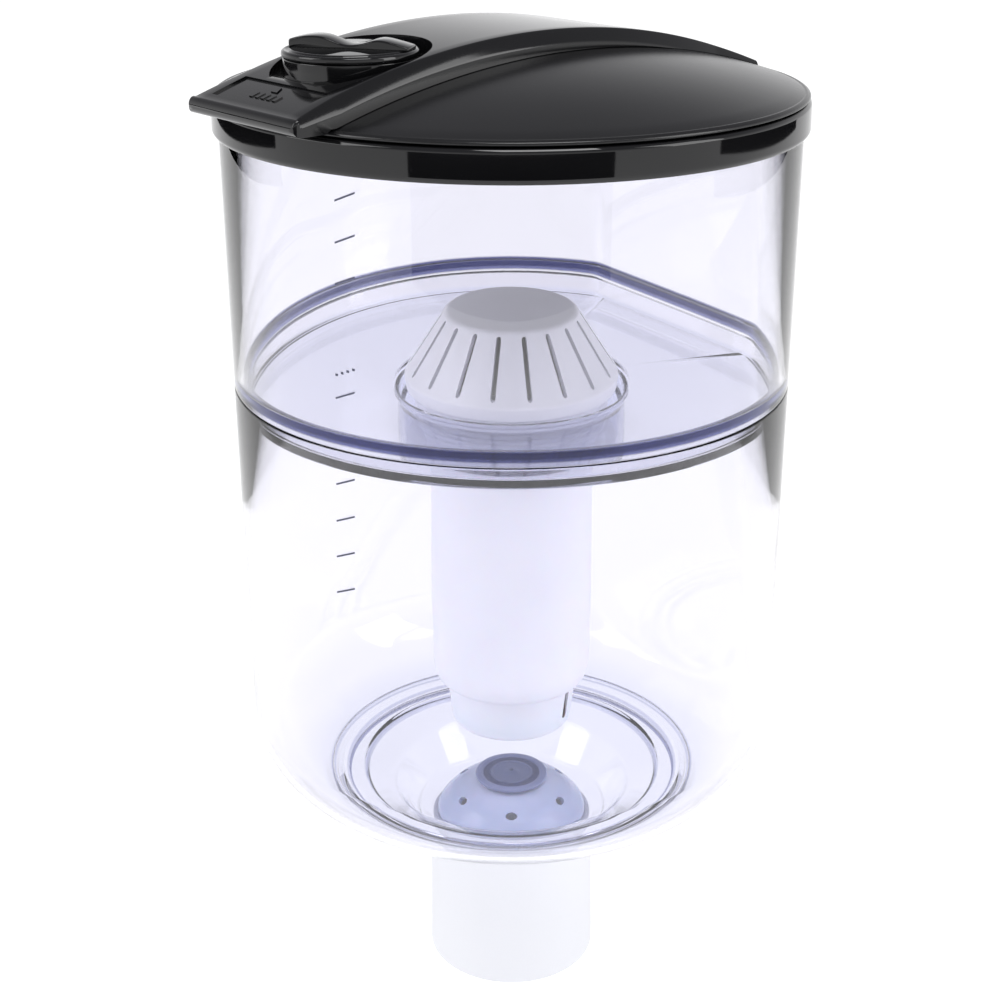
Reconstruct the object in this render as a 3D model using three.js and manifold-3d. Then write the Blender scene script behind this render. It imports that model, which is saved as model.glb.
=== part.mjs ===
// Two-chamber gravity water bottle for a water cooler.
// Millimetres, +Z up. The origin is on the bottle's axis at the foot of the spout.
// The lid's tab points along -Y and the flat back of both tanks faces +Y.
import * as THREE from 'three';
import { mergeVertices } from 'three/addons/utils/BufferGeometryUtils.js';
import Module from 'manifold-3d';

const wasm = await Module();
wasm.setup();

// ---------------------------------------------------------------- driving dimensions
const TANK_R = 138;            // outer radius of both tanks
const WALL = 3;                // tank wall
const BACK_FLAT = 123.6;       // axis to the outside of the flat back
const SEAM_Z = 342;            // joint between the two tanks
const UPPER_H = 133;           // upper tank above the seam
const BASE_Z = 114.5;          // flat underside of the lower tank's shoulder
const CORNER_W = 61;           // width of the rounded bottom corner
const CORNER_H = 48;           // height of the rounded bottom corner
const SPOUT_R = 46;            // spout radius at its foot
const SPOUT_TAPER = 1.5;       // how much narrower the spout is at its top
const SPOUT_WALL = 2.4;
const WELL_R = 60;             // rim of the well that holds the filter
const WELL_DEPTH = 34;         // well rim to well floor
const CARTRIDGE_R = 44;        // filter cartridge at its top
const CARTRIDGE_H = 125;       // cartridge below the well, without its end cap
const END_CAP_STEP = 9.3;      // how much narrower the end cap is than the cartridge
const END_CAP_H = 24.5;
const END_SLOTS = 2;
const END_SLOT_W = 4;
const END_SLOT_H = 17;
const END_SLOT_TURN = 108.5;   // where the end cap's first slot lies, from -Y
const STRAINER_R = 54.4;       // slotted cap at its widest
const STRAINER_TOP_R = 32;
const STRAINER_H = 31;         // slotted cap above its skirt
const SLOT_COUNT = 18;
const SLOT_W = 2.4;
const SLOT_LOW = 3.5;          // slotted cap's skirt to the slots' low ends
const SLOT_HIGH = 3;           // slots' high ends to the cap's top
const SLOT_TURN = 8.7;          // how far the slotted cap is turned on its collar
const LID_SKIRT_T = 2.4;       // lid's skirt round the upper tank
const LID_RING_H = 15;
const DOME_RISE = 21;          // lid lip to the top of its dome
const LID_WALL = 2.6;
const BRIDGE_HALF_W = 40.5;    // arched bridge across the lid
const BRIDGE_RISE = 8.3;       // bridge above the dome's top
const TAB_RISE = 7.7;          // lid lip to the top of the tab's end
const BRIDGE_PEAK_Y = -14;     // where the arch peaks
const BEVEL_W = 4;             // slope along the bridge's long top edges
const BEVEL_H = 6;
const TAB_REACH = 11;          // how far the tab stands out past the lid
const BACK_SETBACK = 12;       // lid's edge to the bridge's back end
const NOSE_DROP = 1.8;         // how far the tab's nose hangs in front of the lid's lip
const NECK_SETBACK = 48;       // lid's edge to the filler neck's axis
const NECK_R = 29.6;           // outside of the filler neck
const NECK_WALL = 3;
const NECK_DROP = 7.6;         // bridge's top to the filler neck's rim
const RECESS_ROOM = 6;         // round hollow that the filler neck stands in
const RECESS_DEPTH = 8;
const DIAL_LIP = 0.7;          // how far the dial stands out past the filler neck
const DIAL_T = 3.4;
const GRIP_H = 5;              // grip bar above the dial
const GRIP_TURN = -55;         // where the grip's high end lies, from -Y
const VALVE_R = 20;            // mushroom valve over the outlet
const VALVE_LIFT = 6;
const OUTLET_DOME_R = 41;      // perforated dome over the outlet
const OUTLET_HOLES = 6;
const HOLE_TURN = -11.3;        // where the outlet dome's first hole lies, from -Y

// clearances
const GAP = 0.3;               // parts that rest on each other
const SLIDE = 0.6;             // radial room for a part that lifts out
const BIG = 48;                // facets round a tank
const MID = 32;                // facets round a middling part
const DOME_FACETS = 24;        // facets round the outlet dome
const SMALL = 20;              // facets round a small part
const CORNER_STEPS = 7;        // facets up the rounded bottom corner

// derived sizes and heights
const LID_R = TANK_R + SLIDE + LID_SKIRT_T;    // outside of the lid's ring
const BRIDGE_FRONT = LID_R + TAB_REACH;
const BRIDGE_BACK = LID_R - BACK_SETBACK;
const NECK_Y = NECK_SETBACK - LID_R;
const DIAL_R = NECK_R + DIAL_LIP;
const END_CAP_R = CARTRIDGE_R - END_CAP_STEP;
const TANK_TOP_Z = SEAM_Z + UPPER_H;
const FLOOR_Z = SEAM_Z - 8;                    // top of the upper tank's floor
const WELL_FLOOR_Z = FLOOR_Z - WELL_DEPTH;
const RING_TOP_Z = TANK_TOP_Z + 5;
const RING_FLANGE_T = 3;
const LIP_Z = RING_TOP_Z + GAP;
const LIP_T = 3;
const DOME_STEPS = 6;
const DOME_EDGE_Z = LIP_Z + LIP_T;
const DOME_TOP_Z = DOME_EDGE_Z + DOME_RISE;
const DOME_EDGE_R = LID_R - 4;
const DOME_ARC_R = (DOME_EDGE_R ** 2 + DOME_RISE ** 2) / (2 * DOME_RISE);
const BRIDGE_TOP_Z = DOME_TOP_Z + BRIDGE_RISE;
const NECK_TOP_Z = BRIDGE_TOP_Z - NECK_DROP;
const ARCH_DROP = BRIDGE_TOP_Z - LIP_Z - TAB_RISE;
const BRIDGE_ARC_R = ((BRIDGE_FRONT + BRIDGE_PEAK_Y) ** 2 + ARCH_DROP ** 2) / (2 * ARCH_DROP);
const SUMP_Z = BASE_Z - 28;                    // floor of the outlet sump, inside
const NECK_TUBE_R = OUTLET_DOME_R - 4;         // outside of the tank's outlet neck
const NECK_TUBE_Z = SUMP_Z - WALL - 24;

// ---------------------------------------------------------------- geometry helpers
function solid(geometry) {
  const bare = new THREE.BufferGeometry();
  bare.setAttribute('position', geometry.getAttribute('position'));
  if (geometry.index) bare.setIndex(geometry.index);
  const merged = mergeVertices(bare, 1e-4);
  const position = merged.getAttribute('position').array;
  const index = merged.index.array;
  const kept = [];
  let volume = 0;
  const a = new THREE.Vector3();
  const b = new THREE.Vector3();
  const c = new THREE.Vector3();
  for (let i = 0; i < index.length; i += 3) {
    const [p, q, r] = [index[i], index[i + 1], index[i + 2]];
    if (p === q || q === r || r === p) continue;
    kept.push(p, q, r);
    a.fromArray(position, 3 * p);
    b.fromArray(position, 3 * q);
    c.fromArray(position, 3 * r);
    volume += a.dot(b.cross(c));
  }
  if (volume < 0) kept.reverse();
  const mesh = new wasm.Mesh({
    numProp: 3,
    vertProperties: new Float32Array(position),
    triVerts: new Uint32Array(kept),
  });
  return new wasm.Manifold(mesh);
}

// A closed outline of [radius, height] points, turned about the Z axis.
function turned(outline, facets) {
  const closed = [...outline, outline[0]];
  const points = closed.map(([r, z]) => new THREE.Vector2(r, z));
  const geometry = new THREE.LatheGeometry(points, facets);
  geometry.rotateX(Math.PI / 2);
  return solid(geometry);
}

function disc(r, z0, z1, facets) {
  return turned([[0, z0], [r, z0], [r, z1], [0, z1]], facets);
}

function ring(inner, outer, z0, z1, facets) {
  return turned([[inner, z0], [outer, z0], [outer, z1], [inner, z1]], facets);
}

function block(x0, x1, y0, y1, z0, z1) {
  const geometry = new THREE.BoxGeometry(x1 - x0, y1 - y0, z1 - z0);
  geometry.translate((x0 + x1) / 2, (y0 + y1) / 2, (z0 + z1) / 2);
  return solid(geometry);
}

// Everything in front of a plane at y, for cutting the flat back.
function inFrontOf(y) {
  return block(-500, 500, -500, y, -200, 900);
}

// An outline of [y, z] points carried across from x0 to x1.
function sweptAcross(outline, x0, x1) {
  const shape = new THREE.Shape(outline.map(([y, z]) => new THREE.Vector2(y, z)));
  const geometry = new THREE.ExtrudeGeometry(shape, { depth: x1 - x0, bevelEnabled: false });
  geometry.rotateX(Math.PI / 2);
  geometry.rotateZ(Math.PI / 2);
  geometry.translate(x0, 0, 0);
  return solid(geometry);
}

// Skins a row of slices, each the same number of [x, y, z] points, and closes both ends.
function lofted(slices) {
  const n = slices[0].length;
  const index = [];
  for (let s = 0; s + 1 < slices.length; s += 1) {
    for (let i = 0; i < n; i += 1) {
      const j = (i + 1) % n;
      index.push(s * n + i, s * n + j, (s + 1) * n + j, s * n + i, (s + 1) * n + j, (s + 1) * n + i);
    }
  }
  const last = (slices.length - 1) * n;
  for (let i = 1; i + 1 < n; i += 1) index.push(0, i + 1, i, last, last + i, last + i + 1);
  const geometry = new THREE.BufferGeometry();
  geometry.setAttribute('position', new THREE.Float32BufferAttribute(slices.flat(2), 3));
  geometry.setIndex(index);
  return solid(geometry);
}

// Points of an elliptical quarter, from its low end to its high end.
function cornerPoints(cr, cz, w, h, steps) {
  return Array.from({ length: steps + 1 }, (unused, i) => {
    const t = (i / steps) * Math.PI / 2;
    return [cr + w * Math.sin(t), cz - h * Math.cos(t)];
  });
}

// Points of the lid's dome, from its edge to the axis, lowered by some depth.
function domePoints(edgeR, depth, steps) {
  const centreZ = DOME_TOP_Z - DOME_ARC_R;
  return Array.from({ length: steps + 1 }, (unused, i) => {
    const r = edgeR * (1 - i / steps);
    return [r, centreZ + Math.sqrt((DOME_ARC_R - depth) ** 2 - r ** 2)];
  });
}

const root = new THREE.Group();

function add(name, body, color, roughness, opacity = 1, metalness = 0) {
  const mesh = body.getMesh();
  const geometry = new THREE.BufferGeometry();
  geometry.setAttribute('position', new THREE.BufferAttribute(mesh.vertProperties, 3));
  geometry.setIndex(new THREE.BufferAttribute(mesh.triVerts, 1));
  geometry.computeVertexNormals();
  const material = new THREE.MeshStandardMaterial({ color, roughness, metalness });
  material.opacity = opacity;
  material.transparent = opacity < 1;
  const node = new THREE.Mesh(geometry, material);
  node.name = name;
  root.add(node);
}

const CLEAR = 0xd3d8f2;
const SMOKE_BLUE = 0x7f8fbf;
const WHITE = 0xf4f4f8;
const BLACK = 0x0b0b0d;
const SILICONE = 0xc9cdd6;
const STEEL = 0xb8babd;

// ---------------------------------------------------------------- lower tank
const SUMP_R = OUTLET_DOME_R + 3;
const SUMP_FLARE = 7;          // flat part of the sump's floor
const SUMP_SLOPE = 13;         // width of the sump's cone
const STEP_R = 80;             // innermost of the floor's shallow steps
const STEP_W = 9;              // from one step to the next
const STEP_H = 2.2;

// The floor from the sump out to the rounded corner: a cone, a shallow dish and two steps.
function floorInside() {
  const treadZ = BASE_Z + WALL;
  const coneR = SUMP_R + SUMP_FLARE + SUMP_SLOPE;
  return [
    [SUMP_R, SUMP_Z], [SUMP_R + SUMP_FLARE, SUMP_Z + 3], [coneR, treadZ - 8], [STEP_R - 1, treadZ - STEP_H],
    [STEP_R + 1, treadZ], [STEP_R + STEP_W, treadZ + 0.3], [STEP_R + STEP_W + 1.6, treadZ + STEP_H],
    [STEP_R + 2 * STEP_W - 1.5, treadZ + STEP_H + 0.4], [STEP_R + 2 * STEP_W, treadZ + STEP_H + 2],
  ];
}

function floorOutside() {
  const coneR = SUMP_R + SUMP_FLARE + SUMP_SLOPE + 1;
  return [
    [SUMP_R + 1, SUMP_Z - WALL], [SUMP_R + SUMP_FLARE + 1, SUMP_Z - WALL + 3],
    [coneR, BASE_Z - 8], [STEP_R - 1, BASE_Z - STEP_H], [STEP_R + 1, BASE_Z], [STEP_R + STEP_W + 1, BASE_Z],
  ];
}

function cornerCurve(thickness, fromR) {
  const w = CORNER_W - thickness;
  const h = CORNER_H - thickness;
  return cornerPoints(TANK_R - CORNER_W, BASE_Z + CORNER_H, w, h, CORNER_STEPS).filter(([r]) => r > fromR);
}

function lowerTank() {
  const mouthZ = SEAM_Z - GAP;
  const innerR = TANK_R - WALL;
  const cornerFrom = STEP_R + 2 * STEP_W + 2;
  const outer = turned([
    [0, SUMP_Z - WALL], ...floorOutside(), ...cornerCurve(0, cornerFrom - WALL), [TANK_R, mouthZ], [0, mouthZ],
  ], BIG).intersect(inFrontOf(BACK_FLAT));
  const cavity = turned([
    [0, SUMP_Z], ...floorInside(), ...cornerCurve(WALL, cornerFrom), [innerR, mouthZ + 1], [0, mouthZ + 1],
  ], BIG).intersect(inFrontOf(BACK_FLAT - WALL));
  const outletNeck = disc(NECK_TUBE_R, NECK_TUBE_Z, SUMP_Z - 1, MID);
  const outlet = disc(NECK_TUBE_R - WALL, NECK_TUBE_Z - 1, SUMP_Z + 1, MID);
  return outer.subtract(cavity).add(outletNeck).subtract(outlet);
}

function spout() {
  const topZ = SUMP_Z - WALL - 1.5;
  const topR = SPOUT_R - SPOUT_TAPER;
  const boreTop = NECK_TUBE_R + SLIDE;
  const bottomCurve = [[SPOUT_R - 1, 0], [SPOUT_R, 1]];
  return turned([
    [SPOUT_R - SPOUT_WALL, 0], ...bottomCurve, [topR, topZ], [boreTop, topZ],
    [boreTop, NECK_TUBE_Z - 2], [topR - SPOUT_WALL, NECK_TUBE_Z - 8],
  ], MID);
}

function spoutSeal() {
  const topZ = SUMP_Z - WALL;
  return ring(NECK_TUBE_R + SLIDE, NECK_TUBE_R + SLIDE + 4, topZ - 1.5 + GAP / 2, topZ - GAP / 2, MID);
}

// Perforated dome that stands on the sump floor over the outlet.
const DOME_SEAT_Z = SUMP_Z + GAP;
const OUTLET_DOME_H = 19;
const DOME_T = 2;
const STEM_R = 4;

function outletDomeOutline(inset) {
  const crown = VALVE_R - 6;
  const shoulderR = OUTLET_DOME_R - inset;
  return [
    [shoulderR, DOME_SEAT_Z], [shoulderR - 1.5, DOME_SEAT_Z + 4], [shoulderR - 9, DOME_SEAT_Z + 12 - inset],
    [crown, DOME_SEAT_Z + OUTLET_DOME_H - inset], [0, DOME_SEAT_Z + OUTLET_DOME_H - inset],
  ];
}

function outletDome() {
  const outer = turned([[0, DOME_SEAT_Z], ...outletDomeOutline(0)], DOME_FACETS);
  const inner = turned([[0, DOME_SEAT_Z - 1], [OUTLET_DOME_R - DOME_T, DOME_SEAT_Z - 1],
    ...outletDomeOutline(DOME_T)], DOME_FACETS);
  const foot = ring(NECK_TUBE_R - WALL + 1, OUTLET_DOME_R - 1, DOME_SEAT_Z, DOME_SEAT_Z + 1.6, DOME_FACETS);
  let dome = outer.subtract(inner).add(foot);
  for (let i = 0; i < OUTLET_HOLES; i += 1) {
    const hole = new THREE.CylinderGeometry(3.2, 3.2, 16, 8);
    hole.rotateX(Math.PI / 4);
    hole.translate(0, -OUTLET_DOME_R * 0.72, DOME_SEAT_Z + 11);
    hole.rotateZ(THREE.MathUtils.degToRad(HOLE_TURN + (i / OUTLET_HOLES) * 360));
    dome = dome.subtract(solid(hole));
  }
  return dome.subtract(disc(STEM_R + SLIDE, DOME_SEAT_Z, DOME_SEAT_Z + OUTLET_DOME_H + 1, SMALL));
}

const VALVE_Z = DOME_SEAT_Z + OUTLET_DOME_H + GAP;

function valveCap() {
  return turned([
    [0, VALVE_Z], [VALVE_R - 2, VALVE_Z], [VALVE_R, VALVE_Z + 1], [VALVE_R - 0.6, VALVE_Z + 2.4],
    [VALVE_R - 4, VALVE_Z + 3], [VALVE_R - 5, VALVE_Z + 2.2], [4, VALVE_Z + 2.6],
    [2, VALVE_Z + 3.4], [0, VALVE_Z + 3.6],
  ], MID);
}

function valveStem() {
  const footZ = NECK_TUBE_Z + 8;
  const stop = DOME_SEAT_Z + OUTLET_DOME_H - DOME_T - VALVE_LIFT - 1.5;
  return turned([
    [0, footZ], [14, footZ], [14, footZ + 2], [STEM_R, footZ + 2], [STEM_R, stop - 2],
    [STEM_R + 2.5, stop - 2], [STEM_R + 2.5, stop], [STEM_R, stop], [STEM_R, VALVE_Z - GAP], [0, VALVE_Z - GAP],
  ], SMALL);
}

// ---------------------------------------------------------------- upper tank
const SPIGOT_R = TANK_R - WALL - SLIDE;
const SPIGOT_FLAT = BACK_FLAT - WALL - SLIDE;
const LEDGE_Z = SEAM_Z + 7;                    // the wall is thick below this
const BORE_R = CARTRIDGE_R + 1.5;

function wellOutline(r, floorZ, topZ) {
  return [[0, floorZ], [r - 3, floorZ], [r - 3, topZ - 11], [r, topZ - 7], [r, topZ], [0, topZ]];
}

function upperTank() {
  const spigot = disc(SPIGOT_R, FLOOR_Z - WALL, LEDGE_Z, BIG).intersect(inFrontOf(SPIGOT_FLAT));
  const wall = disc(TANK_R, SEAM_Z, TANK_TOP_Z, BIG).intersect(inFrontOf(BACK_FLAT));
  const cavity = disc(TANK_R - WALL, LEDGE_Z, TANK_TOP_Z + 1, BIG).intersect(inFrontOf(BACK_FLAT - WALL));
  const lowCavity = disc(SPIGOT_R - WALL, FLOOR_Z, LEDGE_Z + 1, BIG)
    .intersect(inFrontOf(SPIGOT_FLAT - WALL));
  const wellOuter = turned(wellOutline(WELL_R, WELL_FLOOR_Z - WALL, FLOOR_Z + 2), MID);
  const wellInner = turned(wellOutline(WELL_R - WALL, WELL_FLOOR_Z, FLOOR_Z + 3), MID);
  return wall.add(spigot).subtract(cavity).subtract(lowCavity)
    .add(wellOuter).subtract(wellInner)
    .subtract(disc(BORE_R, WELL_FLOOR_Z - WALL - 1, WELL_FLOOR_Z + 1, MID));
}

// ---------------------------------------------------------------- filter
const HEAD_R = WELL_R - WALL - 3 - 1;
const HEAD_Z = WELL_FLOOR_Z + 2;
const HEAD_TOP_Z = FLOOR_Z - 3;
const THREAD_R = CARTRIDGE_R - 4;

function headSeal() {
  return ring(BORE_R + 0.5, HEAD_R, WELL_FLOOR_Z + GAP / 2, HEAD_Z - GAP / 2, MID);
}

// White collar in the well: the cartridge's neck screws into it from below.
function filterHead() {
  return turned([
    [THREAD_R + SLIDE, HEAD_Z], [HEAD_R, HEAD_Z], [HEAD_R, HEAD_Z + 8], [HEAD_R - 4, HEAD_Z + 12],
    [HEAD_R - 4, HEAD_TOP_Z], [THREAD_R + SLIDE, HEAD_TOP_Z],
  ], MID);
}

const CARTRIDGE_TOP_Z = WELL_FLOOR_Z - WALL - 2;
const CARTRIDGE_LOW_Z = CARTRIDGE_TOP_Z - CARTRIDGE_H;
const SHELL = 2.2;

function cartridgeSeal() {
  return ring(THREAD_R + SLIDE, CARTRIDGE_R, CARTRIDGE_TOP_Z + GAP / 2, CARTRIDGE_TOP_Z + 2 - GAP / 2, MID);
}

function cartridgeBody() {
  const lowR = CARTRIDGE_R - 2.4;
  const neckTop = HEAD_TOP_Z - 1;
  return turned([
    [THREAD_R, neckTop], [THREAD_R, CARTRIDGE_TOP_Z], [CARTRIDGE_R, CARTRIDGE_TOP_Z], [lowR, CARTRIDGE_LOW_Z + 6],
    [lowR - 1.6, CARTRIDGE_LOW_Z + 2], [lowR - 5, CARTRIDGE_LOW_Z], [END_CAP_R - 3, CARTRIDGE_LOW_Z],
    [END_CAP_R - 3, CARTRIDGE_LOW_Z + SHELL], [lowR - 5, CARTRIDGE_LOW_Z + SHELL],
    [lowR - SHELL, CARTRIDGE_LOW_Z + 7], [THREAD_R - SHELL, CARTRIDGE_TOP_Z - 4], [THREAD_R - SHELL, neckTop],
  ], MID);
}

function endCap() {
  const topZ = CARTRIDGE_LOW_Z - GAP;
  const lowZ = topZ - END_CAP_H;
  const outer = turned([
    [0, lowZ], [END_CAP_R - 4, lowZ], [END_CAP_R - 0.8, lowZ + 3], [END_CAP_R, topZ], [0, topZ],
  ], MID);
  const inner = turned([
    [0, lowZ + SHELL], [END_CAP_R - 5, lowZ + SHELL], [END_CAP_R - SHELL, lowZ + 5],
    [END_CAP_R - SHELL, topZ + 1], [0, topZ + 1],
  ], MID);
  let cap = outer.subtract(inner);
  for (let i = 0; i < END_SLOTS; i += 1) {
    const slot = new THREE.BoxGeometry(END_SLOT_W, 8, END_SLOT_H);
    slot.translate(0, -END_CAP_R, topZ - 1 - END_SLOT_H / 2);
    slot.rotateZ(THREE.MathUtils.degToRad(END_SLOT_TURN + (i / END_SLOTS) * 360));
    cap = cap.subtract(solid(slot));
  }
  return cap;
}

// Filter beds stacked inside the cartridge, each a loose-fill disc between pads.
function filterBed(z0, z1) {
  return disc(THREAD_R - SHELL - 1.2, z0 + GAP / 2, z1 - GAP / 2, MID);
}

const BED_LOW_Z = CARTRIDGE_LOW_Z + 8;
const BED_H = (CARTRIDGE_TOP_Z - 8 - BED_LOW_Z) / 4;

// Slotted cap that snaps over the collar and keeps sand out of the filter.
const STRAINER_SEAT_Z = FLOOR_Z - 2;
const STRAINER_EDGE_Z = STRAINER_SEAT_Z + 6;
const STRAINER_TOP_Z = STRAINER_EDGE_Z + STRAINER_H;

function strainerOutline(inset) {
  return [
    [STRAINER_R - 1 - inset, STRAINER_SEAT_Z], [STRAINER_R - inset, STRAINER_EDGE_Z],
    [STRAINER_R - 1.6 - inset, STRAINER_EDGE_Z + 3 - inset / 2],
    [STRAINER_TOP_R + 1 - inset * 0.8, STRAINER_TOP_Z - 1 - inset], [STRAINER_TOP_R - inset, STRAINER_TOP_Z - inset],
    [0, STRAINER_TOP_Z - inset],
  ];
}

function strainerCap() {
  const outer = turned([[0, STRAINER_SEAT_Z], ...strainerOutline(0)], MID);
  const inner = turned([[0, STRAINER_SEAT_Z - 1], [STRAINER_R - 1 - SHELL, STRAINER_SEAT_Z - 1],
    ...strainerOutline(SHELL)], MID);
  let cap = outer.subtract(inner);
  for (let i = 0; i < SLOT_COUNT; i += 1) {
    const slot = block(-SLOT_W / 2, SLOT_W / 2, -STRAINER_R - 5, -STRAINER_TOP_R - 2,
      STRAINER_EDGE_Z + SLOT_LOW, STRAINER_TOP_Z - SLOT_HIGH);
    const turn = SLOT_TURN + ((i + 0.5) / SLOT_COUNT) * 360;
    cap = cap.subtract(slot.rotate([0, 0, turn]));
  }
  return cap;
}

function strainerPad() {
  return turned([
    [0, STRAINER_SEAT_Z + GAP], [HEAD_R - 6, STRAINER_SEAT_Z + GAP], [HEAD_R - 7, STRAINER_EDGE_Z + 4],
    [STRAINER_TOP_R - 7, STRAINER_TOP_Z - 7], [0, STRAINER_TOP_Z - 7],
  ], SMALL);
}

// ---------------------------------------------------------------- lid
function lidRing() {
  const lowZ = RING_TOP_Z - LID_RING_H;
  const flangeR = SPIGOT_FLAT + 4;
  const skirtR = TANK_R + SLIDE;
  return turned([
    [skirtR, lowZ], [LID_R - 1, lowZ], [LID_R, lowZ + 1.5], [LID_R - 0.6, RING_TOP_Z], [flangeR, RING_TOP_Z],
    [flangeR, RING_TOP_Z - RING_FLANGE_T], [skirtR, RING_TOP_Z - RING_FLANGE_T],
  ], BIG);
}

function lidSeal() {
  const z0 = TANK_TOP_Z + GAP;
  const z1 = RING_TOP_Z - RING_FLANGE_T - GAP;
  const outer = disc(TANK_R, z0, z1, BIG).intersect(inFrontOf(BACK_FLAT));
  const inner = disc(TANK_R - WALL, z0 - 1, z1 + 1, BIG).intersect(inFrontOf(BACK_FLAT - WALL));
  return outer.subtract(inner);
}

const NECK_HOLE_R = NECK_R + GAP;

function neckHole(r, z0, z1) {
  return disc(r, z0, z1, MID).translate([0, NECK_Y, 0]);
}

function lidDome() {
  const spigotR = SPIGOT_FLAT + 4 - SLIDE;
  const outer = turned([
    [0, LIP_Z], [LID_R - 1.5, LIP_Z], [LID_R - 1, LIP_Z + 1], [DOME_EDGE_R + 2, DOME_EDGE_Z],
    ...domePoints(DOME_EDGE_R, 0, DOME_STEPS),
  ], BIG);
  const inner = turned([
    [0, LIP_Z - 1], [spigotR - LID_WALL, LIP_Z - 1], ...domePoints(spigotR - LID_WALL, LID_WALL, DOME_STEPS - 2),
  ], BIG);
  const spigot = ring(spigotR - LID_WALL, spigotR, LIP_Z - RING_FLANGE_T, LIP_Z + 0.5, BIG);
  return outer.subtract(inner).add(spigot).subtract(neckHole(NECK_HOLE_R, LIP_Z - 20, DOME_TOP_Z));
}

// Height of the bridge's arch at y, lowered by some depth.
function archZ(y, depth) {
  const centreZ = BRIDGE_TOP_Z - BRIDGE_ARC_R;
  return centreZ + Math.sqrt((BRIDGE_ARC_R - depth) ** 2 - (y - BRIDGE_PEAK_Y) ** 2);
}

// One slice across the bridge, with its two top corners sloped off.
function bridgeSlice(y, halfW, topZ, lowZ, cut) {
  const bevelW = BEVEL_W * cut;
  const bevelZ = topZ - BEVEL_H * cut;
  return [
    [-halfW, y, lowZ], [halfW, y, lowZ], [halfW, y, bevelZ],
    [halfW - bevelW, y, topZ], [bevelW - halfW, y, topZ], [-halfW, y, bevelZ],
  ];
}

const TAB_SEAT_Z = DOME_EDGE_Z + GAP;

function bridgeBlock(inset) {
  const noseZ = TAB_SEAT_Z - NOSE_DROP;
  const front = -BRIDGE_FRONT;
  const halfW = BRIDGE_HALF_W - inset;
  const slices = [
    bridgeSlice(front, halfW, archZ(front, 0) - 1.8, noseZ + 1.5, 0.2),
    bridgeSlice(front + 1.6, halfW, archZ(front + 1.6, 0), noseZ, 0.3),
  ];
  const steps = 12;
  const first = front + 1.6;
  for (let i = 1; i <= steps; i += 1) {
    const y = first + ((BRIDGE_BACK - inset - first) * i) / steps;
    const cut = Math.min(1, (archZ(y, 0) - noseZ) / (2 * BEVEL_H));
    slices.push(bridgeSlice(y, halfW, archZ(y, inset), noseZ, cut));
  }
  return lofted(inset ? slices.slice(2) : slices);
}

function bridge() {
  const seatR = LID_R - 1 + GAP;
  const underside = turned([
    [0, LIP_Z - 20], [seatR, LIP_Z - 20], [seatR, TAB_SEAT_Z], ...domePoints(DOME_EDGE_R, -GAP, DOME_STEPS),
  ], BIG);
  const hollow = bridgeBlock(LID_WALL).subtract(neckHole(NECK_R + RECESS_ROOM + LID_WALL, 0, 600));
  const recess = neckHole(NECK_R + RECESS_ROOM, NECK_TOP_Z - RECESS_DEPTH, NECK_TOP_Z + 30);
  return bridgeBlock(0).subtract(hollow).subtract(underside).subtract(recess)
    .add(neckHole(NECK_R, RING_TOP_Z - 3, NECK_TOP_Z))
    .subtract(neckHole(NECK_R - NECK_WALL, 0, 600));
}

// ---------------------------------------------------------------- filler cap
const PLUG_R = NECK_R - NECK_WALL - 0.4;
const PLUG_TOP_Z = NECK_TOP_Z - 2;
const PLUG_LOW_Z = NECK_TOP_Z - 20;
const GROOVE_Z = PLUG_LOW_Z + 5;
const SHAFT_R = 6;

function plug() {
  return turned([
    [SHAFT_R + 0.4, PLUG_LOW_Z], [PLUG_R, PLUG_LOW_Z], [PLUG_R, GROOVE_Z], [PLUG_R - 2, GROOVE_Z],
    [PLUG_R - 2, GROOVE_Z + 3], [PLUG_R, GROOVE_Z + 3], [PLUG_R, PLUG_TOP_Z], [PLUG_R - 2.4, PLUG_TOP_Z],
    [PLUG_R - 5, PLUG_LOW_Z + 3], [SHAFT_R + 0.4, PLUG_LOW_Z + 3],
  ], MID).translate([0, NECK_Y, 0]);
}

function plugSeal() {
  return ring(PLUG_R - 2 + GAP / 2, PLUG_R + 0.2, GROOVE_Z + GAP, GROOVE_Z + 3 - GAP, MID)
    .translate([0, NECK_Y, 0]);
}

const DIAL_Z = NECK_TOP_Z + GAP;
const GRIP_HALF_W = 6.5;

// The grip's outline along the dial: a hump, a dip, a lower hump and a square end.
function gripOutline() {
  const top = DIAL_Z + DIAL_T;
  const curve = new THREE.SplineCurve([
    new THREE.Vector2(-DIAL_R + 3, top + 4), new THREE.Vector2(-DIAL_R * 0.45, top + GRIP_H),
    new THREE.Vector2(0, top + 3), new THREE.Vector2(DIAL_R * 0.45, top + GRIP_H * 0.8),
    new THREE.Vector2(DIAL_R - 2, top + 2.5),
  ]);
  const points = curve.getPoints(14).map((p) => [p.x, p.y]);
  return [[-DIAL_R + 3, top - 1], ...points, [DIAL_R - 2, top - 1]];
}

function dial() {
  const shaft = disc(SHAFT_R, PLUG_LOW_Z - 3, DIAL_Z + 1, SMALL);
  const plate = turned([
    [0, DIAL_Z], [DIAL_R, DIAL_Z], [DIAL_R, DIAL_Z + 1.6], [DIAL_R - 2, DIAL_Z + 2],
    [DIAL_R - 2.6, DIAL_Z + DIAL_T], [0, DIAL_Z + DIAL_T],
  ], MID);
  const grip = sweptAcross(gripOutline(), -GRIP_HALF_W, GRIP_HALF_W).rotate([0, 0, GRIP_TURN]);
  return shaft.add(plate).add(grip).translate([0, NECK_Y, 0]);
}

function dialWasher() {
  return ring(2.4, SHAFT_R + 4, PLUG_LOW_Z - 3 - GAP - 1.2, PLUG_LOW_Z - 3 - GAP, SMALL).translate([0, NECK_Y, 0]);
}

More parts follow.
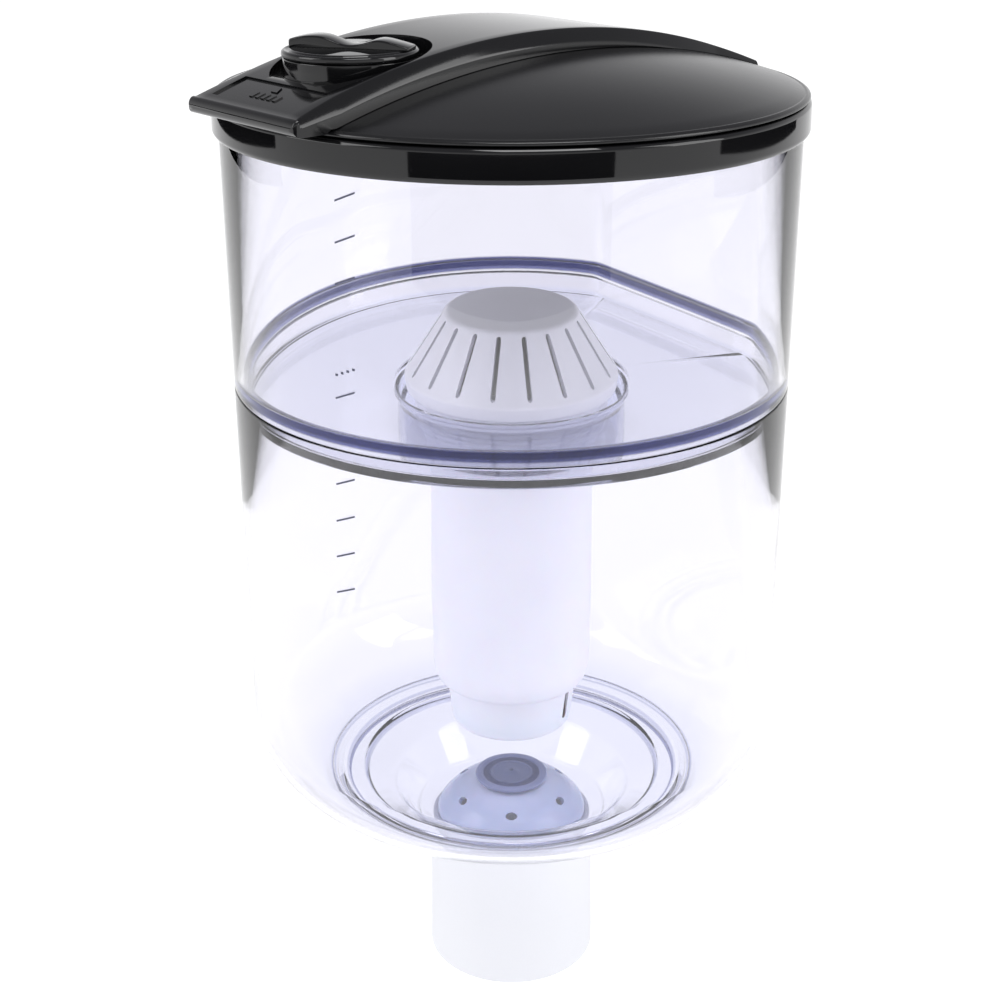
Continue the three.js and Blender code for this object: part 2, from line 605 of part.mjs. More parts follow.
// ---------------------------------------------------------------- assembly
add('lower_tank', lowerTank(), CLEAR, 0.08, 0.3);
add('outlet_dome', outletDome(), SMOKE_BLUE, 0.15, 0.5);
add('valve_cap', valveCap(), SMOKE_BLUE, 0.3, 0.8);
add('valve_stem', valveStem(), WHITE, 0.4);
add('spout', spout(), WHITE, 0.45);
add('spout_seal', spoutSeal(), SILICONE, 0.6);
add('upper_tank', upperTank(), CLEAR, 0.08, 0.3);
add('head_seal', headSeal(), SILICONE, 0.6);
add('filter_head', filterHead(), WHITE, 0.45);
add('cartridge_seal', cartridgeSeal(), SILICONE, 0.6);
add('cartridge_body', cartridgeBody(), WHITE, 0.5);
add('cartridge_end_cap', endCap(), WHITE, 0.5);
const BEDS = ['mineral_bed', 'resin_bed', 'carbon_bed', 'sediment_pad'];
BEDS.forEach((name, i) => {
  add(name, filterBed(BED_LOW_Z + i * BED_H, BED_LOW_Z + (i + 1) * BED_H), 0x6a6258, 0.9);
});
add('strainer_cap', strainerCap(), WHITE, 0.4);
add('strainer_pad', strainerPad(), 0xe6e6e0, 0.95);
add('lid_ring', lidRing(), BLACK, 0.12);
add('lid_seal', lidSeal(), SILICONE, 0.6);
add('lid_dome', lidDome(), BLACK, 0.25);
add('lid_bridge', bridge(), BLACK, 0.15);
add('filler_plug', plug(), BLACK, 0.3);
add('filler_plug_seal', plugSeal(), SILICONE, 0.6);
add('filler_dial', dial(), BLACK, 0.1);
add('dial_washer', dialWasher(), STEEL, 0.3, 1, 1);

export default root;
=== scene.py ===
# Looks of the two-chamber gravity water bottle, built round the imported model.
# The frame is in metres; outlines here are in millimetres and scaled once, in new_object().
import math

import bmesh
import bpy
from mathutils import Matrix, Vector

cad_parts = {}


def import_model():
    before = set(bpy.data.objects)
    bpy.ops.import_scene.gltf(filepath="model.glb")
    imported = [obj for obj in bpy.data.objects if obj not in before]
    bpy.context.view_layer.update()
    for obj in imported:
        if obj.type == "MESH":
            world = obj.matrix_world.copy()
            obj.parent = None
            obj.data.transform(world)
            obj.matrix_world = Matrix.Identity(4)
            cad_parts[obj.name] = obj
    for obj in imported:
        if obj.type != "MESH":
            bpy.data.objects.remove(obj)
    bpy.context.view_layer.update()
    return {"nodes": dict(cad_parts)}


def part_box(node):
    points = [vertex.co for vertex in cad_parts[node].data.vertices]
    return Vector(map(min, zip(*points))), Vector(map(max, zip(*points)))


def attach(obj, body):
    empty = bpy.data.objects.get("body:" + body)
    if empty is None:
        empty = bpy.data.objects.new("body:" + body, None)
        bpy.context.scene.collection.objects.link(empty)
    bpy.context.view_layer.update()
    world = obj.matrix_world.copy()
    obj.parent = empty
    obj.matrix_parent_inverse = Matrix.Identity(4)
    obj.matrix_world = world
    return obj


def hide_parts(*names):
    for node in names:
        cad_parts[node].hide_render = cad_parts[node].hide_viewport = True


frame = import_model()
NODES = frame["nodes"]
MM = 0.001


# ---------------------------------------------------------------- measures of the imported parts
class Extent:
    """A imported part's box in millimetres, and its radius about its own upright axis."""

    def __init__(self, node):
        low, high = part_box(node)
        self.x0, self.y0, self.z0 = (c / MM for c in low)
        self.x1, self.y1, self.z1 = (c / MM for c in high)
        self.r = (self.x1 - self.x0) / 2
        self.mid_y = (self.y0 + self.y1) / 2


LOWER = Extent("lower_tank")
UPPER = Extent("upper_tank")
RING = Extent("lid_ring")
DOME = Extent("lid_dome")
BRIDGE = Extent("lid_bridge")
DIAL = Extent("filler_dial")
PLUG = Extent("filler_plug")
STRAINER = Extent("strainer_cap")
HEAD = Extent("filter_head")
CARTRIDGE = Extent("cartridge_body")
END_CAP = Extent("cartridge_end_cap")
OUTLET = Extent("outlet_dome")
VALVE = Extent("valve_cap")
SPOUT = Extent("spout")

WALL = 3.0                                # tank wall
SEAM_Z = LOWER.z1 + 0.3                   # upper tank's rim rests here
OUTER_FLAT = LOWER.y1                     # outside of the flat back
INNER_FLAT = OUTER_FLAT - WALL
SPIGOT_R = LOWER.r - WALL - 0.6           # upper tank's skirt inside the lower tank's mouth
SPIGOT_FLAT = INNER_FLAT - 0.6
FLOOR_Z = SEAM_Z - 8                      # floor of the upper tank
SUMP_Z = OUTLET.z0 - 0.3                  # floor of the sump
SHOULDER_Z = SUMP_Z + 28                  # underside of the lower tank's shoulder
EDGE_SOFTNESS = 2.2                       # rounding of the flat back's upright edges
SHARP = math.radians(38)                  # edges sharper than this stay hard
PACKED_SHARP = math.radians(30)           # the same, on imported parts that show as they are
BEVEL_FROM = math.radians(40)
ON_AXIS = 1e-6                            # radius below which a ring of points is one point
CAMERA_TURN = 318.7                       # azimuth that the camera looks from, in degrees


# ---------------------------------------------------------------- meshes
def linked(name, data):
    """A new object of the scene that holds a mesh, a lamp or a camera."""
    obj = bpy.data.objects.new(name, data)
    bpy.context.scene.collection.objects.link(obj)
    return obj


def new_object(name, points, faces):
    """A smooth-shaded mesh from millimetre points, with its hard edges kept."""
    mesh = bpy.data.meshes.new(name)
    mesh.from_pydata([Vector(p) * MM for p in points], [], faces)
    mesh.validate()
    obj = linked(name, mesh)
    smooth(obj)
    return obj


def smooth(obj, angle=SHARP):
    obj.data.shade_smooth()
    obj.data.set_sharp_from_angle(angle=angle)


def smooth_min(a, b, k):
    """The lesser of two numbers, rounded over where they are less than k apart."""
    h = max(k - abs(a - b), 0) / k
    return min(a, b) - h * h * k / 4


def even_turns(count):
    return [2 * math.pi * i / count for i in range(count)]


def flat_backed_turns():
    """Azimuths round a tank, close together along the flat back and its upright edges."""
    turns = []
    azimuth = 0.0
    while azimuth < 360:
        turns.append(math.radians(azimuth))
        fine = 58 <= azimuth < 70 or 110 <= azimuth < 122
        azimuth += 0.5 if fine else 2.0
    return turns


def revolved(name, outline, turns, centre_y=0.0):
    """Turns a closed outline of (radius, height) or (radius, height, flat) about an upright axis.
    A flat is how far back the surface may reach at that point of the outline."""
    points, rings = [], []
    for spot in outline:
        r, z = spot[0], spot[1]
        flat = spot[2] if len(spot) > 2 else None
        if r < ON_AXIS:
            rings.append([len(points)] * len(turns))
            points.append((0, centre_y, z))
            continue
        rings.append(range(len(points), len(points) + len(turns)))
        for a in turns:
            y = r * math.sin(a)
            if flat is not None and r > flat:
                y = smooth_min(y, flat, EDGE_SOFTNESS)
            points.append((r * math.cos(a), y + centre_y, z))
    faces = []
    count = len(turns)
    for i, ring in enumerate(rings):
        above = rings[(i + 1) % len(rings)]
        if ring[0] == ring[-1] and above[0] == above[-1]:
            continue
        for j in range(count):
            k = (j + 1) % count
            corners = [ring[j], ring[k], above[k], above[j]]
            faces.append(list(dict.fromkeys(corners)))
    return new_object(name, points, faces)


def filleted(corners, steps=5):
    """Rounds the corners of a closed outline. Each corner is (radius, height, fillet[, flat])."""
    made = []
    count = len(corners)
    for i, corner in enumerate(corners):
        r, z, fillet = corner[:3]
        flat = tuple(corner[3:])
        if fillet <= 0:
            made.append((r, z) + flat)
            continue
        here = Vector((r, z))
        before = Vector(corners[i - 1][:2]) - here
        after = Vector(corners[(i + 1) % count][:2]) - here
        reach = min(fillet, 0.45 * before.length, 0.45 * after.length)
        a = here + before.normalized() * reach
        b = here + after.normalized() * reach
        for s in range(steps + 1):
            t = s / steps
            p = a * (1 - t) ** 2 + here * (2 * t * (1 - t)) + b * t * t
            made.append((p.x, p.y) + flat)
    return made


def quarter(cr, cz, w, h, steps, flat=None):
    """Points of an elliptical quarter, from its low end to its high end."""
    tail = () if flat is None else (flat,)
    turns = [math.pi / 2 * i / steps for i in range(steps + 1)]
    return [(cr + w * math.sin(t), cz - h * math.cos(t)) + tail for t in turns]


def lofted(name, slices):
    """Skins a row of slices with equal numbers of points and closes both ends."""
    count = len(slices[0])
    points = [p for s in slices for p in s]
    faces = [list(range(count))[::-1]]
    for s in range(len(slices) - 1):
        for i in range(count):
            j = (i + 1) % count
            a, b = s * count, (s + 1) * count
            faces.append([a + i, a + j, b + j, b + i])
    last = (len(slices) - 1) * count
    faces.append([last + i for i in range(count)])
    return new_object(name, points, faces)


def prism(name, outline, low, high):
    """An upright prism: an outline of (x, y) between two heights, each a number or a function of x, y."""
    def at(h, x, y):
        return h(x, y) if callable(h) else h
    bottom = [(x, y, at(low, x, y)) for x, y in outline]
    top = [(x, y, at(high, x, y)) for x, y in outline]
    return lofted(name, [bottom, top])


def circle(r, count, cx=0.0, cy=0.0):
    return [(cx + r * math.cos(a), cy + r * math.sin(a)) for a in even_turns(count)]


def turned_about_axis(obj, azimuth, times):
    """Copies an object's mesh round the bottle's axis, evenly, into one mesh."""
    points = [v.co / MM for v in obj.data.vertices]
    polygons = [list(p.vertices) for p in obj.data.polygons]
    all_points, all_faces = [], []
    for n in range(times):
        a = azimuth + 2 * math.pi * n / times
        c, s = math.cos(a), math.sin(a)
        base = len(all_points)
        all_points += [(p.x * c - p.y * s, p.x * s + p.y * c, p.z) for p in points]
        all_faces += [[base + i for i in face] for face in polygons]
    name = obj.name + "_set"
    bpy.data.objects.remove(obj)
    return new_object(name, all_points, all_faces)


def carved(obj, cutter):
    """Cuts a closed cutter out of a closed mesh. The cutter is then deleted."""
    for o in (obj, cutter):
        recalculate(o)
    change = obj.modifiers.new("carve", "BOOLEAN")
    change.operation = "DIFFERENCE"
    change.object = cutter
    change.solver = "MANIFOLD"
    applied(obj)
    bpy.data.objects.remove(cutter)
    smooth(obj)
    return obj


def recalculate(obj):
    """Turns every face of a closed mesh outward."""
    work = bmesh.new()
    work.from_mesh(obj.data)
    bmesh.ops.recalc_face_normals(work, faces=work.faces)
    work.to_mesh(obj.data)
    work.free()


def applied(obj):
    """Replaces the object's mesh with its evaluated one."""
    bpy.context.view_layer.update()
    shape = obj.evaluated_get(bpy.context.evaluated_depsgraph_get())
    mesh = bpy.data.meshes.new_from_object(shape)
    obj.modifiers.clear()
    obj.data = mesh


def bevelled(obj, width):
    """Rounds the edges that are sharper than BEVEL_FROM."""
    edge = obj.modifiers.new("bevel", "BEVEL")
    edge.width = width * MM
    edge.segments = 3
    edge.limit_method = "ANGLE"
    edge.angle_limit = BEVEL_FROM
    applied(obj)
    smooth(obj)
    return obj


def joined(name, objects):
    """Merges several meshes into one object."""
    points, faces = [], []
    for obj in objects:
        base = len(points)
        points += [v.co / MM for v in obj.data.vertices]
        faces += [[base + i for i in p.vertices] for p in obj.data.polygons]
        bpy.data.objects.remove(obj)
    return new_object(name, points, faces)


# ---------------------------------------------------------------- materials
def tone(r, g, b):
    """A linear colour from the usual 0-255 display values."""
    def linear(c):
        c /= 255
        return c / 12.92 if c <= 0.04045 else ((c + 0.055) / 1.055) ** 2.4
    return (linear(r), linear(g), linear(b), 1.0)


class Value:
    """A shader socket that takes part in Python arithmetic."""

    def __init__(self, sheet, socket):
        self.sheet = sheet
        self.socket = socket

    def math(self, operation, *others):
        return self.sheet.node("ShaderNodeMath", (self,) + others, operation=operation)

    def __add__(self, other):
        return self.math("ADD", other)

    def __sub__(self, other):
        return self.math("SUBTRACT", other)

    def __mul__(self, other):
        return self.math("MULTIPLY", other)

    def __truediv__(self, other):
        return self.math("DIVIDE", other)

    def __rsub__(self, other):
        return self.sheet.node("ShaderNodeMath", (other, self), operation="SUBTRACT")

    def __rtruediv__(self, other):
        return self.sheet.node("ShaderNodeMath", (other, self), operation="DIVIDE")

    __radd__ = __add__
    __rmul__ = __mul__


class Sheet:
    """One node material, written as expressions."""

    def __init__(self, name, holder=None):
        self.material = holder or bpy.data.materials.new(name)
        self.material.use_nodes = True
        self.tree = self.material.node_tree
        self.tree.nodes.clear()

    def node(self, kind, inputs=(), out=0, **settings):
        """Adds a node: its settings first, then its sockets by place or by name."""
        made = self.tree.nodes.new(kind)
        for key, value in settings.items():
            setattr(made, key, value)
        pairs = inputs.items() if isinstance(inputs, dict) else enumerate(inputs)
        for key, value in pairs:
            socket = made.inputs[key] if isinstance(key, int) else self.named(made.inputs, key)
            if isinstance(value, Value):
                self.tree.links.new(value.socket, socket)
            else:
                socket.default_value = value
        found = made.outputs[out] if isinstance(out, int) else self.named(made.outputs, out)
        return Value(self, found)

    @staticmethod
    def named(sockets, name):
        return next(s for s in sockets if s.name == name and s.enabled)

    def place(self):
        return self.node("ShaderNodeTexCoord", out="Object")

    def axes(self):
        """The place's x, y and z, in metres."""
        where = self.place()
        return [self.node("ShaderNodeSeparateXYZ", (where,), out=i) for i in range(3)]

    def noise(self, scale, detail=3.0, where=None):
        where = where or self.place()
        return self.node("ShaderNodeTexNoise", {"Vector": where, "Scale": scale, "Detail": detail})

    def stretched(self, x, y, z):
        return self.node("ShaderNodeVectorMath", (self.place(), (x, y, z)), operation="MULTIPLY")

    def rise(self, value, low, high):
        """0 below low, 1 above high, smooth between."""
        return self.node("ShaderNodeMapRange", {"Value": value, "From Min": low, "From Max": high},
                         interpolation_type="SMOOTHSTEP")

    def band(self, value, low, high, soft):
        """1 between low and high, 0 outside, with soft ends."""
        return self.rise(value, low - soft, low + soft) * (1 - self.rise(value, high - soft, high + soft))

    def blend(self, factor, a, b):
        return self.node("ShaderNodeMix", {"Factor": factor, "A": a, "B": b}, out="Result",
                         data_type="RGBA")

    def from_axis(self):
        """Distance from the bottle's axis, in metres."""
        x, y, _ = self.axes()
        return self.node("ShaderNodeMath", (x * x + y * y,), operation="SQRT")

    def bump(self, height, strength, distance):
        return self.node("ShaderNodeBump", {"Height": height, "Strength": strength, "Distance": distance})

    def principled(self, **sockets):
        names = {key.replace("_", " "): value for key, value in sockets.items()}
        return self.node("ShaderNodeBsdfPrincipled", names)

    def finish(self, shader, output="ShaderNodeOutputMaterial"):
        """Links a shader to the output and gives back the material."""
        out = self.tree.nodes.new(output)
        self.tree.links.new(shader.socket, out.inputs["Surface"])
        return self.material


def moulded(name, light, dark, rough):
    """Opaque moulded plastic: slow tone drift, fine grain and uneven polish."""
    s = Sheet(name)
    drift = s.noise(9.0, 2.0)
    fine = s.noise(900.0, 4.0)
    colour = s.blend(drift * 0.7 + fine * 0.3, dark, light)
    spread = 0.12
    polish = s.noise(38.0, 4.0) * spread + (rough - spread / 2)
    return s.finish(s.principled(Base_Color=colour, Roughness=polish,
                                 Normal=s.bump(fine, 0.35, 0.00003)))


def gloss_black(name, rough, spread, brush=0.0):
    """Polished black plastic with faint wipe marks."""
    s = Sheet(name)
    wiped = s.noise(14.0, 5.0, s.stretched(1.0, 1.0, 4.0))
    fine = s.noise(1400.0, 3.0)
    dust = s.rise(s.noise(420.0, 2.0), 0.68, 0.80)
    colour = s.blend(wiped * 0.5 + dust * 0.4, (0.0035, 0.0035, 0.004, 1), (0.010, 0.010, 0.011, 1))
    polish = wiped * spread + (rough - spread / 2) + dust * 0.05
    height = fine * 0.4 + s.noise(60.0, 2.0) * brush
    return s.finish(s.principled(Base_Color=colour, Roughness=polish, Specular_IOR_Level=0.5,
                                 Normal=s.bump(height, 0.25, 0.00002)))


RING_HALF_W = 0.9                         # painted dark line on each ring of the tank's floor, standing in for the step's refraction
TANK_IOR = 1.49
TANK_ROUGHNESS = 0.012
TANK_SHADOW = (0.96, 0.96, 0.98, 1)
TINT_PALE = (0.915, 0.912, 0.955, 1)
TINT_DEEP = (0.875, 0.872, 0.930, 1)
# the seam band's colour: partly the thick plastic's deeper tint, mostly painted reflection of the lid's shade
# and the ledge's refraction
SEAM_TINT_AND_PAINTED_REFLECTION = (0.03, 0.035, 0.14, 1)
# painted dark line on each floor ring, standing in for the refraction at the pressed step
RING_PAINTED_DARK_LINE = (0.40, 0.42, 0.62, 1)
FLOOR_TINT = (0.82, 0.83, 0.93, 1)
WELL_TINT = (0.70, 0.72, 0.86, 1)


def glassy(s, colour, normal):
    """Refracting plastic that lets lamplight through as plain tinted shadow."""
    body = s.principled(Base_Color=colour, Roughness=TANK_ROUGHNESS, IOR=TANK_IOR,
                        Transmission_Weight=1.0, Normal=normal)
    through = s.node("ShaderNodeBsdfTransparent", {"Color": TANK_SHADOW})
    shadow = s.node("ShaderNodeLightPath", out="Is Shadow Ray")
    return s.finish(s.node("ShaderNodeMixShader", (shadow, body, through)))


def tank_material(name, bands, rings=()):
    """Clear plastic, with a deeper tint where the wall is thick, darkened further by painted reflection where
    a band's colour carries it, and a painted dark line on each ring of the floor: (low, high, soft, colour)
    in metres.
    """
    s = Sheet(name)
    z = s.axes()[2]
    flow = s.noise(3.0, 2.0, s.stretched(1.0, 1.0, 0.5))
    colour = s.blend(flow, TINT_PALE, TINT_DEEP)
    for low, high, soft, band_tint_and_painted_reflection in bands:
        # over the seam, the band's colour is also painted reflection
        colour = s.blend(s.band(z, low, high, soft), colour, band_tint_and_painted_reflection)
    radius = s.from_axis()
    for r in rings:
        painted_ring_line = s.band(radius, (r - RING_HALF_W) * MM, (r + RING_HALF_W) * MM, 0.5 * MM)
        # painted refraction line on each ring, on the lower tank's floor only
        colour = s.blend(painted_ring_line * low_down(s, z), colour, RING_PAINTED_DARK_LINE)
    ripple = s.noise(11.0, 2.0) + s.noise(160.0, 2.0) * 0.02
    return glassy(s, colour, s.bump(ripple, 0.12, 0.0009))


def low_down(s, z):
    """1 on the lower tank's floor, 0 above it."""
    return 1 - s.rise(z, (SHOULDER_Z + 8) * MM, (SHOULDER_Z + 10) * MM)


def smoke_dome():
    """Milky blue-grey plastic of the outlet's cover, with a painted highlight that grows paler towards its
    top.
    """
    s = Sheet("smoke_dome")
    z = s.axes()[2]
    cloud = s.noise(40.0, 3.0)
    fine = s.noise(900.0, 3.0)
    low = s.blend(cloud * 0.8 + fine * 0.2, tone(160, 168, 198), tone(178, 186, 212))
    # painted highlight: the cover grows paler towards its top
    crown = s.rise(z, (OUTLET.z1 - 7) * MM, OUTLET.z1 * MM)
    colour = s.blend(crown * 0.5, low, tone(196, 200, 222))
    return s.finish(s.principled(Base_Color=colour, Roughness=cloud * 0.08 + 0.16,
                                 Subsurface_Weight=0.2, Subsurface_Scale=0.004,
                                 Normal=s.bump(fine, 0.2, 0.00003)))


def smoke_cap():
    """Blue-grey valve button: a painted highlight on the raised rim, painted shade in the groove inside it,
    and a mid-toned middle.
    """
    s = Sheet("smoke_cap")
    radius = s.from_axis() / MM
    cloud = s.noise(120.0, 3.0)
    middle = s.blend(cloud, tone(88, 96, 130), tone(104, 112, 146))
    # painted shade in the recess just inside the rim
    painted_groove_shade = s.band(radius, VALVE.r - 8.2, VALVE.r - 4.6, 0.5)
    # painted highlight on the raised rim
    rim = s.rise(radius, VALVE.r - 4.8, VALVE.r - 3.8)
    centre = 1 - s.rise(radius, 0.8, 1.6)
    colour = s.blend(painted_groove_shade, middle, tone(66, 72, 108))
    colour = s.blend(rim, colour, tone(118, 125, 160))
    colour = s.blend(centre * 0.8, colour, tone(50, 54, 82))
    return s.finish(s.principled(Base_Color=colour, Roughness=cloud * 0.1 + 0.2,
                                 Normal=s.bump(cloud, 0.2, 0.00005)))


def frosted_white():
    """Milky white plastic of the cartridge, a little translucent."""
    s = Sheet("frosted_white")
    cloud = s.noise(30.0, 4.0)
    fine = s.noise(1100.0, 3.0)
    colour = s.blend(cloud * 0.8 + fine * 0.2, tone(226, 226, 236), tone(240, 240, 246))
    polish = cloud * 0.1 + 0.42
    return s.finish(s.principled(Base_Color=colour, Roughness=polish, Subsurface_Weight=0.15,
                                 Subsurface_Scale=0.004, Normal=s.bump(fine, 0.3, 0.00003)))


def rubber():
    """Milky silicone of the seals."""
    s = Sheet("silicone")
    fine = s.noise(700.0, 4.0)
    colour = s.blend(fine, tone(196, 199, 208), tone(214, 217, 224))
    return s.finish(s.principled(Base_Color=colour, Roughness=fine * 0.15 + 0.5,
                                 Normal=s.bump(fine, 0.4, 0.00004)))


def grains(name, dark, light, size):
    """Loose filter grains."""
    s = Sheet(name)
    cell = s.node("ShaderNodeTexVoronoi", {"Vector": s.place(), "Scale": size}, out="Distance")
    tint = s.node("ShaderNodeTexVoronoi", {"Vector": s.place(), "Scale": size}, out="Color")
    grey = s.node("ShaderNodeRGBToBW", (tint,))
    return s.finish(s.principled(Base_Color=s.blend(grey, dark, light), Roughness=cell * 0.3 + 0.6,
                                 Normal=s.bump(1 - cell, 0.8, 0.0006)))


def felt():
    """Pale pressed fibres."""
    s = Sheet("felt")
    fibres = s.noise(500.0, 6.0, s.stretched(1.0, 1.0, 3.0))
    colour = s.blend(fibres, tone(206, 206, 198), tone(240, 240, 234))
    return s.finish(s.principled(Base_Color=colour, Roughness=fibres * 0.1 + 0.85,
                                 Normal=s.bump(fibres, 0.8, 0.0004)))


def steel():
    """Brushed steel."""
    s = Sheet("steel")
    brushed = s.noise(120.0, 4.0, s.stretched(1.0, 12.0, 1.0))
    colour = s.blend(brushed, (0.48, 0.48, 0.5, 1), (0.66, 0.66, 0.68, 1))
    return s.finish(s.principled(Base_Color=colour, Roughness=brushed * 0.2 + 0.22, Metallic=1.0,
                                 Normal=s.bump(brushed, 0.2, 0.00003)))


def ink():
    """Worn grey-blue print of the level marks."""
    s = Sheet("mark_ink")
    worn = s.noise(1500.0, 3.0)
    colour = s.blend(worn, tone(52, 54, 72), tone(92, 94, 116))
    return s.finish(s.principled(Base_Color=colour, Roughness=worn * 0.2 + 0.4,
                                 Normal=s.bump(worn, 0.2, 0.00002)))


BLACK_GLOSS = gloss_black("black_gloss", 0.05, 0.05)
BLACK_SATIN = gloss_black("black_satin", 0.22, 0.06, 0.3)
BLACK_SMOOTH = gloss_black("black_smooth", 0.10, 0.05)
WHITE = moulded("white_moulded", tone(243, 243, 248), tone(233, 233, 241), 0.42)
WHITE_SPOUT = moulded("white_spout", tone(230, 231, 235), tone(220, 221, 226), 0.5)
FROSTED = frosted_white()
RUBBER = rubber()
SMOKE_CAP = smoke_cap()
SMOKE_DOME = smoke_dome()
INK = ink()


# ---------------------------------------------------------------- putting pieces in the scene
def shown(obj, body, slot, material, *nodes):
    """Gives a piece its material and its body, and hides the parts it stands for. Its slot is not used."""
    obj.data.materials.clear()
    obj.data.materials.append(material)
    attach(obj, body)
    if nodes:
        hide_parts(*nodes)
    return obj


def packed(node, material):
    """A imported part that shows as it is, with a material."""
    obj = NODES[node]
    obj.data.materials.clear()
    obj.data.materials.append(material)
    smooth(obj, PACKED_SHARP)


# ---------------------------------------------------------------- lower tank
CORNER_W, CORNER_H = 61.0, 48.0           # quarter ellipse of the tank's shoulder
STEP_RADII = (80.0, 89.5, 98.0)           # rings pressed into the lower tank's floor
NECK_OUT, NECK_IN = 37.0, 34.0            # outlet tube's outer and inner radius
WALL_JOIN_Z = SEAM_Z - 60                 # where the straight wall's points begin


def lower_tank():
    """Flat-backed lower chamber: shoulder, ringed floor, sump and outlet tube."""
    tread = SHOULDER_Z + WALL
    cr, cz = LOWER.r - CORNER_W, SHOULDER_Z + CORNER_H
    outer = quarter(cr, cz, CORNER_W, CORNER_H, 22, OUTER_FLAT)
    inner = quarter(cr, cz, CORNER_W - WALL, CORNER_H - WALL, 22, INNER_FLAT)
    outer = [p for p in outer if p[0] > STEP_RADII[2] - 3]
    inner = [p for p in inner if p[0] > STEP_RADII[2] + 2]
    underside = filleted([
        (NECK_IN, LOWER.z0, 0.6), (NECK_OUT, LOWER.z0, 0.6), (NECK_OUT, SUMP_Z - WALL, 1),
        (45, SUMP_Z - WALL, 1), (52, SUMP_Z, 1.5), (65, SHOULDER_Z - 8, 2),
        (79, SHOULDER_Z - 2.2, 0.8), (81, SHOULDER_Z, 0.8), (91, SHOULDER_Z, 3),
    ], 3)
    rim = filleted([
        (LOWER.r, WALL_JOIN_Z, 0, OUTER_FLAT), (LOWER.r, LOWER.z1, 0.8, OUTER_FLAT),
        (LOWER.r - WALL, LOWER.z1, 0.8, INNER_FLAT), (LOWER.r - WALL, WALL_JOIN_Z, 0, INNER_FLAT),
    ], 4)
    a, b, c = STEP_RADII
    floor = filleted([
        (c + 0.5, tread + 4.4, 1.2), (c - 1.4, tread + 2.6, 0.9), (b + 2.2, tread + 2.3, 0.9),
        (b, tread + 0.3, 0.9), (a + 1.4, tread, 0.9), (a - 1.2, tread - 2.3, 0.9),
        (64, tread - 8, 3), (51, SUMP_Z + 3, 2), (44, SUMP_Z, 1.5), (NECK_IN, SUMP_Z, 0.6),
    ], 4)
    outline = underside + outer + rim + list(reversed(inner)) + floor
    return revolved("lower_tank_shell", outline, flat_backed_turns())


# ---------------------------------------------------------------- upper tank
WELL_R = 60.0                             # mouth of the filter's well
WELL_FLOOR_Z = HEAD.z0 - 2
BORE_R = CARTRIDGE.r + 1.5                # hole in the well's floor
LEDGE_Z = SEAM_Z + 7                      # top of the thick band over the seam


def upper_tank():
    """Flat-backed upper chamber: wall, band, spigot, floor and well."""
    spigot_in = SPIGOT_R - WALL
    spigot_in_flat = SPIGOT_FLAT - WALL
    inner_r = UPPER.r - WALL
    outline = filleted([
        (BORE_R, WELL_FLOOR_Z, 0.6), (BORE_R, UPPER.z0, 0.6), (WELL_R - 3, UPPER.z0, 2.5),
        (WELL_R - 3, FLOOR_Z - 9, 1.5), (WELL_R, FLOOR_Z - 5, 1.5), (WELL_R, FLOOR_Z - WALL, 1.2),
        (SPIGOT_R, FLOOR_Z - WALL, 1.2, SPIGOT_FLAT), (SPIGOT_R, SEAM_Z, 0.3, SPIGOT_FLAT),
        (UPPER.r, SEAM_Z, 1.0, OUTER_FLAT), (UPPER.r, UPPER.z1, 0.8, OUTER_FLAT),
        (inner_r, UPPER.z1, 0.8, INNER_FLAT), (inner_r, LEDGE_Z, 0.8, INNER_FLAT),
        (spigot_in, LEDGE_Z, 1.2, spigot_in_flat), (spigot_in, FLOOR_Z, 2.5, spigot_in_flat),
        (WELL_R, FLOOR_Z, 1.6), (WELL_R - 2.6, FLOOR_Z - 2, 1.0), (WELL_R - 3, FLOOR_Z - 5, 1.2),
        (WELL_R - 6, FLOOR_Z - 9, 1.5), (WELL_R - 6, WELL_FLOOR_Z, 2),
    ], 4)
    return revolved("upper_tank_shell", outline, flat_backed_turns())


# ---------------------------------------------------------------- level marks
MARK_AZIMUTH = math.radians(-73.3)
MARK_WIDTH = 10.4
MARK_HEIGHT = 0.9
MARK_LIFT = 0.03                          # bars stand this far off the wall
MARK_THICK = 0.12
MARK_SLOPE = 0.42
MARK_MIDDLE_Z = 345.0
MARK_DRIFT = math.radians(0.017)          # the column of marks leans a little
DOT_WIDTH, DOT_HEIGHT, DOT_PITCH = 1.4, 1.1, 3.0
LOWER_MARKS = (327.5, 309.5, 291.7, 273.6)
UPPER_MARKS = (456, 438, 420, 368.4)
DOTTED_MARK = 379


def mark(name, z, width, height, offset=0.0, slope=0.0):
    """A printed bar on the tank's outer wall."""
    steps = 8
    half = width / 2
    points, faces = [], []
    for depth in (MARK_LIFT, MARK_LIFT + MARK_THICK):
        r = LOWER.r + depth
        for edge in (-1, 1):
            for i in range(steps + 1):
                along = offset - half + width * i / steps
                a = MARK_AZIMUTH + MARK_DRIFT * (z - MARK_MIDDLE_Z) + along / LOWER.r
                lift = edge * height / 2 + slope * (along - offset)
                points.append((r * math.cos(a), r * math.sin(a), z + lift))
    row = steps + 1
    for i in range(steps):
        faces += [[i, i + 1, row + i + 1, row + i],
                  [2 * row + i, 3 * row + i, 3 * row + i + 1, 2 * row + i + 1],
                  [i, 2 * row + i, 2 * row + i + 1, i + 1],
                  [row + i, row + i + 1, 3 * row + i + 1, 3 * row + i]]
    faces += [[0, row, 3 * row, 2 * row], [steps, 2 * row + steps, 3 * row + steps, row + steps]]
    return new_object(name, points, faces)


